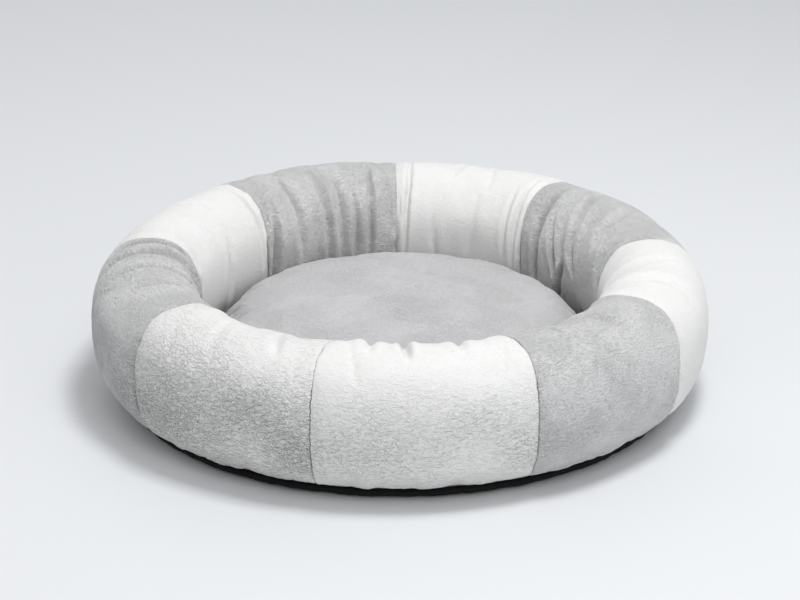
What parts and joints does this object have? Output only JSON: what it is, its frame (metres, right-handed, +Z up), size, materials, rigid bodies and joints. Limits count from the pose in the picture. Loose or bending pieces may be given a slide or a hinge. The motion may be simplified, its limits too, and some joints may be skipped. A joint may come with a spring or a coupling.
{
  "type": "pet cushion bed",
  "caption": "Round pet bed with a stuffed patchwork ring bolster, a flat base and a loose, crowned, zipped cushion that lifts out of the well.",
  "frame": {"origin": "middle of the base cloth's underside, on the surface that the bed stands on", "axes": "+Z up, +Y towards the back of the bed where the cushion's zip is, +X to its right"},
  "size_m": [0.5998, 0.5998, 0.139],
  "materials": {
    "white_plush": "matte",
    "grey_plush": "matte",
    "cushion_plush": "matte",
    "base_fabric": "matte",
    "floor_fabric": "matte",
    "filling": "matte",
    "zip_tape": "matte",
    "zip_coil": "satin",
    "zip_metal": "satin",
    "label_fabric": "satin"
  },
  "bodies": {
    "bed": {"base_cloth": "base_fabric", "base_wadding": "filling", "floor_cloth": "floor_fabric", "panel_right_rear_grey": "grey_plush", "panel_rear_white": "white_plush", "panel_left_rear_grey": "grey_plush", "panel_left_upper_white": "white_plush", "panel_left_grey": "grey_plush", "panel_front_left_white": "white_plush", "panel_front_white": "white_plush", "panel_front_right_grey": "grey_plush", "panel_right_white": "white_plush", "bolster_fill": "filling"},
    "cushion": {"cushion_top_cover": "cushion_plush", "cushion_bottom_cover": "cushion_plush", "cushion_fill": "filling", "zip_tape_upper": "zip_tape", "zip_tape_lower": "zip_tape", "zip_coil_upper": "zip_coil", "zip_coil_lower": "zip_coil", "zip_stop_closed_end": "zip_metal", "zip_stop_open_end": "zip_metal", "care_label": "label_fabric"},
    "zip_slider": {"zip_slider": "zip_metal"},
    "zip_pull": {"zip_pull": "zip_metal"}
  },
  "joints": [
    {"name": "cushion_lift", "type": "slide", "parent": "bed", "child": "cushion", "axis": [0, 0, 1], "range_m": [0, 0.18]},
    {"name": "zip_slide", "type": "hinge", "parent": "cushion", "child": "zip_slider", "pos_m": [0, 0, 0.032], "axis": [0, 0, 1], "range_deg": [0, 94]},
    {"name": "pull_flip", "type": "hinge", "parent": "zip_slider", "child": "zip_pull", "pos_m": [0.13848, 0.12818, 0.032], "axis": [0, 0, -1], "range_deg": [0, 170]}
  ]
}
